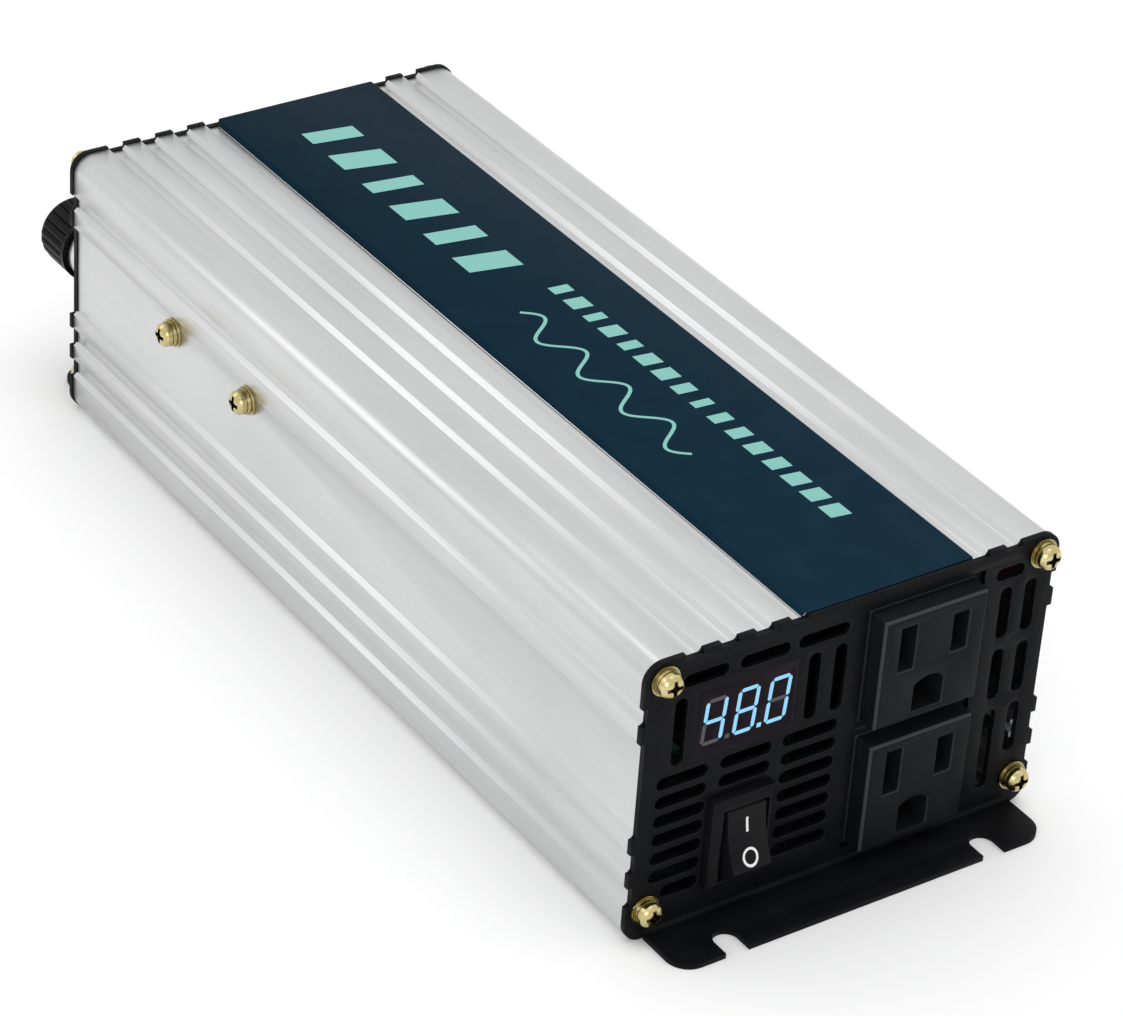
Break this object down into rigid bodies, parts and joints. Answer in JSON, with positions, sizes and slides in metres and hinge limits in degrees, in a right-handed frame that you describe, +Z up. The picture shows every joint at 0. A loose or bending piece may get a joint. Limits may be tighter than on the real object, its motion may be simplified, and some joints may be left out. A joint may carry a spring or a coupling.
{
  "type": "power inverter",
  "caption": "DC to AC power inverter: grooved aluminium case with bent end plates, two grounded outlets, rocker switch, voltage display, cooling fan and screw-cap battery posts.",
  "frame": {"origin": "middle of the underside, on the plane that the case and both feet rest on, midway between the outer faces of the end plates", "axes": "+Z up, +Y from the outlets towards the battery posts, +X to the right when looking at the outlets"},
  "size_m": [0.1028, 0.2535, 0.0645],
  "materials": {
    "brushed_case": "clear anodised",
    "label_film": "satin film",
    "black_plate": "fine powder coat",
    "yellow_zinc": "yellow zinc plated",
    "display_face": "tinted, gloss",
    "lit_segment": "lit",
    "dark_segment": "unlit",
    "circuit_board": "solder mask",
    "tinned_metal": "tinned",
    "black_plastic": "satin",
    "rocker_plastic": "satin",
    "outlet_plastic": "satin",
    "contact_brass": "plain",
    "collar_plastic": "satin",
    "knob_plastic": "semi gloss",
    "red_plastic": "semi gloss",
    "copper": "plain copper",
    "fan_plastic": "satin",
    "core_steel": "plain",
    "black_steel": "black oxide",
    "moulded_case": "moulded",
    "grey_pad": "silicone",
    "ferrite": "sintered",
    "yellow_tape": "tape",
    "capacitor_sleeve": "shrink sleeve",
    "fuse_body": "translucent",
    "film_box": "moulded"
  },
  "bodies": {
    "case": {"case_shell": "brushed_case", "label_strip": "label_film", "front_plate": "black_plate", "rear_plate": "black_plate", "plate_screws": "yellow_zinc", "plate_washers": "yellow_zinc", "plate_lock_washers": "yellow_zinc", "side_screws": "yellow_zinc", "side_washers": "yellow_zinc", "side_lock_washers": "yellow_zinc", "display_block": "display_face", "lit_segments": "lit_segment", "dark_segments": "dark_segment", "display_board": "circuit_board", "display_pins": "tinned_metal", "switch_housing": "black_plastic", "switch_tabs": "tinned_metal", "upper_outlet": "outlet_plastic", "lower_outlet": "outlet_plastic", "blade_contacts": "contact_brass", "ground_contacts": "contact_brass", "outlet_board": "circuit_board", "black_terminal_base": "collar_plastic", "red_terminal_base": "collar_plastic", "terminal_studs": "contact_brass", "inner_insulators": "collar_plastic", "contact_washers": "tinned_metal", "stud_nuts": "tinned_metal", "bus_bars": "copper", "fan_frame": "fan_plastic", "fan_bearing": "contact_brass", "fan_stator": "core_steel", "fan_guard": "black_plate", "fan_screws": "black_steel", "fan_nuts": "tinned_metal", "main_board": "circuit_board", "control_board": "circuit_board", "control_header": "knob_plastic", "transistors": "moulded_case", "transistor_leads": "tinned_metal", "insulating_pads": "grey_pad", "clamp_bars": "core_steel", "transformer_cores": "ferrite", "transformer_windings": "yellow_tape", "transformer_bobbins": "knob_plastic", "input_capacitors": "capacitor_sleeve", "bus_capacitors": "capacitor_sleeve", "choke_core": "ferrite", "choke_winding": "copper", "fuses": "fuse_body", "film_capacitor": "film_box"},
    "rocker": {"rocker_paddle": "rocker_plastic"},
    "fan": {"fan_rotor": "fan_plastic", "fan_shaft": "core_steel"},
    "black_clamp": {"black_collar": "tinned_metal"},
    "black_cap": {"black_knob": "knob_plastic", "black_knob_insert": "contact_brass"},
    "red_clamp": {"red_collar": "tinned_metal"},
    "red_cap": {"red_knob": "red_plastic", "red_knob_insert": "contact_brass"}
  },
  "joints": [
    {"name": "rocker_tilt", "type": "hinge", "parent": "case", "child": "rocker", "pos_m": [-0.0244, -0.1099, 0.0181], "axis": [1, 0, 0], "range_deg": [0, 32]},
    {"name": "fan_spin", "type": "hinge", "parent": "case", "child": "fan", "pos_m": [0, 0.1, 0.033], "axis": [0, 1, 0], "continuous": true},
    {"name": "black_clamp_slide", "type": "slide", "parent": "case", "child": "black_clamp", "axis": [0, 1, 0], "range_m": [0, 0.00501]},
    {"name": "black_cap_turn", "type": "hinge", "parent": "black_clamp", "child": "black_cap", "pos_m": [-0.0385, 0.12, 0.0342], "axis": [0, 1, 0], "range_deg": [0, 1800]},
    {"name": "red_clamp_slide", "type": "slide", "parent": "case", "child": "red_clamp", "axis": [0, 1, 0], "range_m": [0, 0.00501]},
    {"name": "red_cap_turn", "type": "hinge", "parent": "red_clamp", "child": "red_cap", "pos_m": [0.0385, 0.12, 0.0342], "axis": [0, 1, 0], "range_deg": [0, 1800]}
  ],
  "couplings": [
    {"joint": "black_clamp_slide", "follows": "black_cap_turn", "m_per_rad": 0.00015915},
    {"joint": "red_clamp_slide", "follows": "red_cap_turn", "m_per_rad": 0.00015915}
  ]
}
